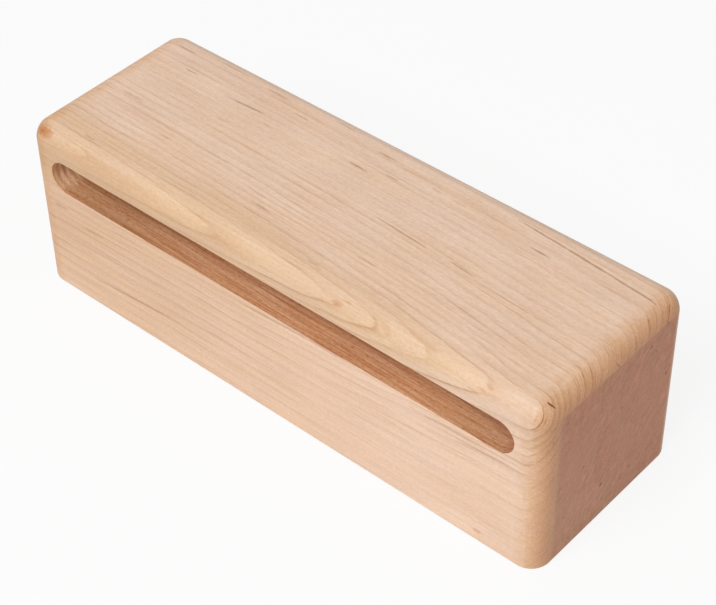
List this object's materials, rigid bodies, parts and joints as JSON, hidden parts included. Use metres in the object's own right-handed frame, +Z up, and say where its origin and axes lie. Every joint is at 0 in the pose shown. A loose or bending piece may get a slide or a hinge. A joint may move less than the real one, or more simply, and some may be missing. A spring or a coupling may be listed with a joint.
{
  "type": "wood block",
  "caption": "Hard maple wood block for striking: a rounded-over rectangular billet with a long, deep routed slot below its thin top plate.",
  "frame": {"origin": "middle of the underside, where the block rests", "axes": "+X along the block and its grain, -Y towards the slot's mouth, +Z up through the struck top plate"},
  "size_m": [0.1906, 0.0636, 0.0596],
  "materials": {
    "hard_maple": "bare hard maple, sanded smooth under a thin satin oil"
  },
  "bodies": {
    "root": {"maple_block": "hard_maple"}
  },
  "joints": []
}
